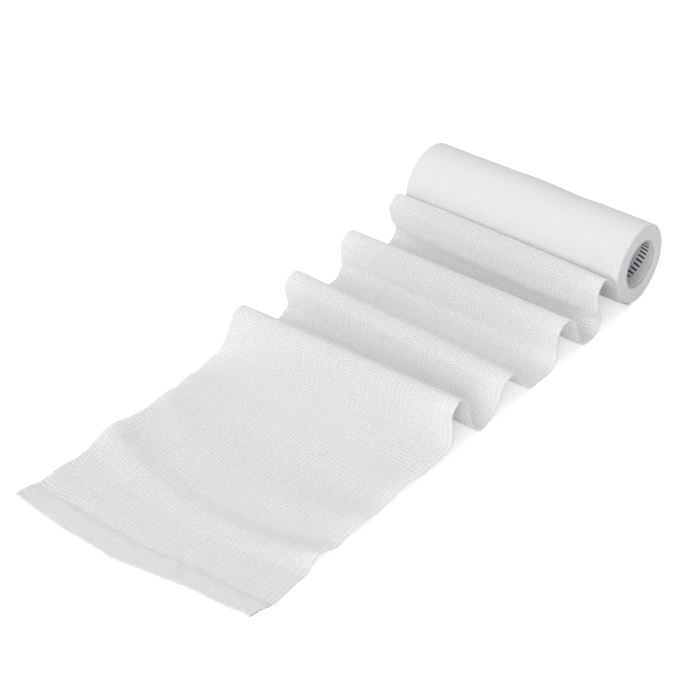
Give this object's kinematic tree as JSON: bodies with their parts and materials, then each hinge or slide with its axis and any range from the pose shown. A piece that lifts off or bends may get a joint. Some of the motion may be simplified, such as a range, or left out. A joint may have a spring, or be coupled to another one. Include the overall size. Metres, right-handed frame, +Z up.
{
  "type": "cohesive bandage roll",
  "caption": "Roll of stretchy crepe-like bandage cloth on a paper core, lying on its side, with its free end drawn out in standing folds to a flat, tab-ended stretch.",
  "frame": {"origin": "on the surface that everything rests on, right below the middle of the paper core's axis", "axes": "+X along the core's axis towards the end that faces the viewer, -Y the way the free end is drawn out, +Z up"},
  "size_m": [0.1524, 0.3734, 0.0512],
  "materials": {
    "bandage_cloth": "matte white crepe-like cohesive cloth",
    "core_paper": "plain pale grey-cream paper tube"
  },
  "bodies": {
    "root": {"wound_roll": "bandage_cloth", "loose_end": "bandage_cloth", "core_tube": "core_paper"}
  },
  "joints": []
}
